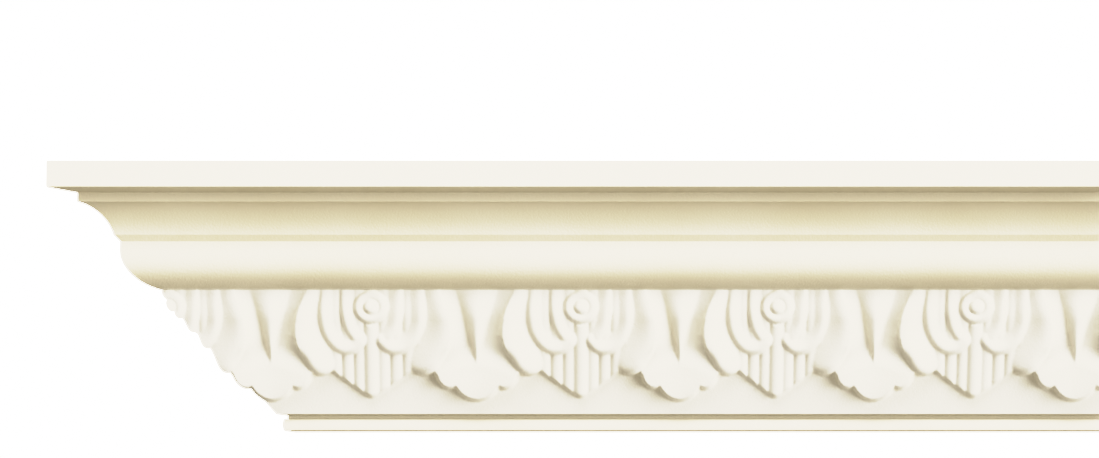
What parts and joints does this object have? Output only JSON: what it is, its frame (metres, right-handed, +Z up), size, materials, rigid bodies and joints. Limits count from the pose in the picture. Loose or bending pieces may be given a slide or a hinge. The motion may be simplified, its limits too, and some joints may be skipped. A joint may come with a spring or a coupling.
{
  "type": "cornice moulding section",
  "caption": "Section of ceiling cornice with a carved leaf and dart band between plain mouldings, mitred at its left end and square at its right",
  "frame": {"origin": "middle of the flat face that lies on the wall, halfway between the mitre and the square end", "axes": "+X along the moulding to the square end, +Y into the wall, +Z up to the ceiling"},
  "size_m": [0.52, 0.1176, 0.1137],
  "materials": {
    "primed_foam": "satin cream primer on moulded rigid foam"
  },
  "bodies": {
    "root": {"cornice_moulding": "primed_foam"}
  },
  "joints": []
}
